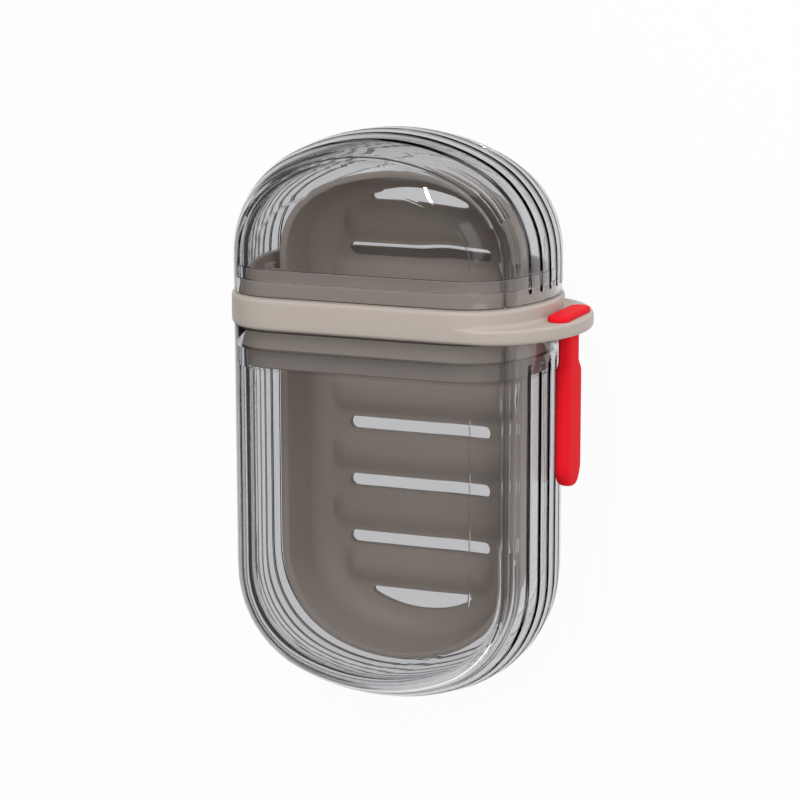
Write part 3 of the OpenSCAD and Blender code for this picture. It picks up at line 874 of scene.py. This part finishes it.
def strap_mesh():
    """Strap with its thumb dimple, and the head."""
    paddle, faces = loft(paddle_rows())
    middle = RING_Y - STRAP_L + DIMPLE_Y
    q = ((paddle[:, 1] - middle) / DIMPLE_HALF[0]) ** 2 + (paddle[:, 2] / DIMPLE_HALF[1]) ** 2
    outer = paddle[:, 0] > STRAP_X + 1.0
    paddle[outer, 0] -= (DIMPLE_D * np.clip(1 - q, 0, 1) ** 0.7)[outer]
    head, head_faces = loft(head_rows())
    faces += [tuple(i + len(paddle) for i in face) for face in head_faces]
    return new_mesh("strap_look", np.concatenate([paddle, head]) + (SHIFT, 0, LIFT), faces)


# Stage
def add_lamp(name, place, size, power, mirrored):
    """Soft rectangular lamp that looks at the case. Gloss sees it only where it is mirrored."""
    lamp = bpy.data.lights.new(name, "AREA")
    lamp.shape = "RECTANGLE"
    lamp.size, lamp.size_y = size
    lamp.energy = power
    ob = new_object(name, lamp)
    ob.location = place
    ob.visible_glossy = mirrored
    ob.rotation_euler = (Vector(LAMP_AIM) - Vector(place)).to_track_quat("-Z", "Y").to_euler()


def add_camera(lens):
    """Camera at the photograph's viewing angle and distance."""
    turn, tilt = VIEW_TURN, VIEW_TILT
    right = Vector((math.cos(turn), 0, -math.sin(turn)))
    up = Vector((-math.sin(tilt) * math.sin(turn), math.cos(tilt), -math.sin(tilt) * math.cos(turn)))
    back = Vector((math.sin(turn) * math.cos(tilt), math.sin(tilt), math.cos(turn) * math.cos(tilt)))
    eye = (back * VIEW_FAR + right * VIEW_RIGHT + up * VIEW_UP + Vector((SHIFT, 0, LIFT))) * MM
    roll = Matrix.Rotation(VIEW_ROLL, 3, back)
    camera = bpy.data.cameras.new("Camera")
    camera.sensor_width = SENSOR
    camera.lens = lens
    camera.clip_start, camera.clip_end = 0.05, 20
    ob = new_object("Camera", camera)
    ob.matrix_world = Matrix.Translation(eye) @ (roll @ Matrix((right, up, back)).transposed()).to_4x4()
    bpy.context.scene.camera = ob


# Properties
class SOAPBOX_PG_shells(bpy.types.PropertyGroup):
    """Sizes and colour of the clear shells"""
    wall: FloatProperty(name="Wall", description="Wall thickness of the clear shells",
                        default=3.0 * MM, unit="LENGTH")
    depth: FloatProperty(name="Groove depth", description="Depth of the grooves round the side",
                         default=0.8 * MM, unit="LENGTH")
    width: FloatProperty(name="Groove width", description="Width of a groove",
                         default=1.1 * MM, unit="LENGTH")
    crease: FloatProperty(name="Crease", description="Depth of the fine lines inside the walls",
                          default=0.06 * MM, unit="LENGTH")
    pitch: FloatProperty(name="Groove pitch", description="Distance between grooves",
                         default=4.25 * MM, unit="LENGTH")
    count: IntProperty(name="Grooves", description="Number of grooves", default=6, min=1, max=10)
    tint: FloatVectorProperty(name="Tint", description="Colour that one wall of clear plastic lets through",
                              default=(0.79, 0.79, 0.80), subtype="COLOR")


class SOAPBOX_PG_plastics(bpy.types.PropertyGroup):
    """Colours of the opaque pieces and the tray's slots"""
    taupe: FloatVectorProperty(name="Ring and tray", description="Colour of the opaque plastic",
                               default=(0.505, 0.445, 0.395), subtype="COLOR")
    red: FloatVectorProperty(name="Strap", description="Colour of the silicone strap",
                             default=(0.88, 0.013, 0.024), subtype="COLOR")
    slots: IntProperty(name="Slots", description="Number of drain slots in the tray", default=6, min=1, max=8)
    slot_pitch: FloatProperty(name="Slot pitch", description="Distance between drain slots",
                              default=13.68 * MM, unit="LENGTH")


class SOAPBOX_PG_stage(bpy.types.PropertyGroup):
    """Camera, lights and surroundings"""
    lens: FloatProperty(name="Lens", description="Focal length in millimetres on a 36 mm sensor",
                        default=126.384)
    key: FloatProperty(name="Key", description="Power of the key lamp in watts", default=3.6)
    sky: FloatProperty(name="Sky", description="Strength of the soft sky", default=0.58)
    dim: FloatProperty(name="Dim room", description="Brightness overhead as gloss and clear plastic see it",
                       default=0.07)
    sheet: FloatProperty(name="Sheet", description="Reach of the white sheet, as seen in gloss and plastic",
                         default=0.165, unit="LENGTH")
    sheet_place: FloatVectorProperty(name="Sheet place", description="Middle of the white sheet on the floor",
                                     default=(0, -0.07, 0), subtype="TRANSLATION")
    backdrop: FloatProperty(name="Backdrop", description="How much of the floor is seen as plain white",
                            default=0.95)


# Operators
class SOAPBOX_OT_shells(bpy.types.Operator):
    """Build the clear upper cover and lower box"""
    bl_idname = "soapbox.shells"
    bl_label = "Clear shells"

    def execute(self, context):
        p = context.scene.soapbox_shells
        tree = shell_tree()
        ma = clear_material(p.tint)
        stations = side_stations(p.count, p.pitch / MM, p.width / MM, SIDE_CREASES)
        profile = wall_profile(stations, FACE_CREASES)
        for shell in SHELLS:
            me = shell_base(shell, profile, p.wall / MM, p.crease / p.depth)
            ob = new_object(me.name, me)
            apply_nodes(ob, tree, Wall=p.wall, Groove_depth=p.depth, Lift=LIFT * MM,
                        Shift=SHIFT * MM * shell.side, Material=ma)
            if shell.side < 0:
                # half a turn about the upright keeps the heights and swaps the sides
                ob.data.transform(Matrix.Rotation(math.pi, 4, "Z"))
            clean_attributes(ob.data)
            outward_normals(ob.data)
            smooth(ob.data, angle=30)
            settle(ob, shell.body, shell.node)
        return {"FINISHED"}


class SOAPBOX_OT_ring(bpy.types.Operator):
    """Build the centre ring with its collars and tab"""
    bl_idname = "soapbox.ring"
    bl_label = "Centre ring"

    def execute(self, context):
        me = ring_mesh()
        outward_normals(me)
        ob = new_object("centre_ring_look", me)
        me.materials.append(taupe_material(context))
        for s in (1, -1):
            for z_span in RAILS:
                combine(ob, rounded_block("rail", [s * x for x in RAIL_X], RAIL_Y, z_span), "UNION")
        smooth(ob.data, angle=40)
        settle(ob, "ring", "centre_ring")
        return {"FINISHED"}


class SOAPBOX_OT_tray(bpy.types.Operator):
    """Build the slotted soap tray"""
    bl_idname = "soapbox.tray"
    bl_label = "Soap tray"

    def execute(self, context):
        p = context.scene.soapbox_plastics
        ma = taupe_material(context)
        me = tray_mesh()
        outward_normals(me)
        ob = new_object("soap_tray_look", me)
        me.materials.append(ma)
        slots = prism("slot_cutter", pill_outline(SLOT_L, SLOT_W), CUT_Z)
        apply_nodes(slots, slot_tree(), Count=p.slots, Pitch=p.slot_pitch,
                    First=(0, SLOT_FIRST * MM, 0), Material=ma)
        combine(ob, slots)
        for s, edge in ((1, SLOT_LAST + END_GAP), (-1, SLOT_FIRST - END_GAP)):
            line = [(x, edge + s * y) for x, y in bow_outline(BOW_R, BOW_RISE, BOW_CORNER)]
            bow = prism("bow_cutter", line, CUT_Z)
            outward_normals(bow.data)
            combine(ob, bow)
        for s in (1, -1):
            combine(ob, rounded_block("lug", [s * x for x in LUG_X], LUG_Y, LUG_Z), "UNION")
        smooth(ob.data, angle=38)
        settle(ob, "ring", "soap_tray")
        return {"FINISHED"}


class SOAPBOX_OT_strap(bpy.types.Operator):
    """Build the soft strap"""
    bl_idname = "soapbox.strap"
    bl_label = "Strap"

    def execute(self, context):
        me = strap_mesh()
        outward_normals(me)
        smooth(me, angle=50)
        ob = new_object("strap_look", me)
        red = context.scene.soapbox_plastics.red
        ma = plastic_material("Red_silicone", red, rough=0.55, grain=6000, bump=0.15, gloss=0.04)
        me.materials.append(ma)
        settle(ob, "ring", "strap")
        return {"FINISHED"}


class SOAPBOX_OT_stage(bpy.types.Operator):
    """Build the floor, the lights and the camera"""
    bl_idname = "soapbox.stage"
    bl_label = "Stage"

    def execute(self, context):
        p = context.scene.soapbox_stage
        corners = [(x * FLOOR_HALF, y * FLOOR_HALF, 0) for x, y in ((-1, -1), (1, -1), (1, 1), (-1, 1))]
        floor = new_object("floor", new_mesh("floor", corners, [(0, 1, 2, 3)]))
        floor.data.materials.append(floor_material(p))
        context.scene.world = soft_room(p)
        add_lamp("Key", KEY_PLACE, KEY_SIZE, p.key, mirrored=True)
        add_lamp("Fill", FILL_PLACE, FILL_SIZE, p.key * FILL_SHARE, mirrored=False)
        add_camera(p.lens)
        context.scene.view_settings.view_transform = "Standard"
        return {"FINISHED"}


class SOAPBOX_PT_panel(bpy.types.Panel):
    """Lists the sizes, the colours and the steps"""
    bl_idname = "SOAPBOX_PT_panel"
    bl_label = "Soap Box"
    bl_space_type = "VIEW_3D"
    bl_region_type = "UI"
    bl_category = "Soap Box"

    def draw(self, context):
        s = context.scene
        for group in (s.soapbox_shells, s.soapbox_plastics, s.soapbox_stage):
            box = self.layout.box()
            for key in group.__annotations__:
                box.prop(group, key)
        for op in OPERATORS:
            self.layout.operator(op.bl_idname)


GROUPS = {
    "soapbox_shells": SOAPBOX_PG_shells,
    "soapbox_plastics": SOAPBOX_PG_plastics,
    "soapbox_stage": SOAPBOX_PG_stage,
}
OPERATORS = (SOAPBOX_OT_shells, SOAPBOX_OT_ring, SOAPBOX_OT_tray, SOAPBOX_OT_strap, SOAPBOX_OT_stage)


def register():
    """Registers the classes and hangs the property groups on the scene."""
    for c in (*GROUPS.values(), *OPERATORS, SOAPBOX_PT_panel):
        bpy.utils.register_class(c)
    for key, c in GROUPS.items():
        setattr(bpy.types.Scene, key, PointerProperty(type=c))


def unregister():
    """Takes back what register did."""
    for key in GROUPS:
        delattr(bpy.types.Scene, key)
    for c in reversed((*GROUPS.values(), *OPERATORS, SOAPBOX_PT_panel)):
        bpy.utils.unregister_class(c)


def main():
    """Builds every piece and the stage."""
    register()
    bpy.ops.soapbox.shells()
    bpy.ops.soapbox.ring()
    bpy.ops.soapbox.tray()
    bpy.ops.soapbox.strap()
    bpy.ops.soapbox.stage()


if __name__ == "__main__":
    main()
